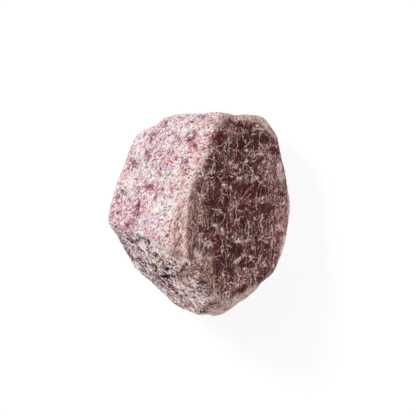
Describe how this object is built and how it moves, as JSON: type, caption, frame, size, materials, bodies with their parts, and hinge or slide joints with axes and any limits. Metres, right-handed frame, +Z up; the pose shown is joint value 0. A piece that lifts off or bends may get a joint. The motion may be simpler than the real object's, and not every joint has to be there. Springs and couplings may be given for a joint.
{
  "type": "rough ruby crystal",
  "caption": "Opaque, water-worn ruby crystal with a pale pink end face and a dark maroon striated side, lying on its flat underside as a display specimen.",
  "frame": {"origin": "centre of the bounding box at the underside that the stone rests on", "axes": "+Z up out of the resting face; +Y along the stone's length, towards the end that is at the top of the picture; +X across it, towards the dark side; the picture looks straight down along -Z"},
  "size_m": [0.0276, 0.0304, 0.0188],
  "materials": {
    "ruby": "rough, worn crystal: pale pink frosted end face, dark maroon striated sides"
  },
  "bodies": {
    "root": {"ruby": "ruby"}
  },
  "joints": []
}
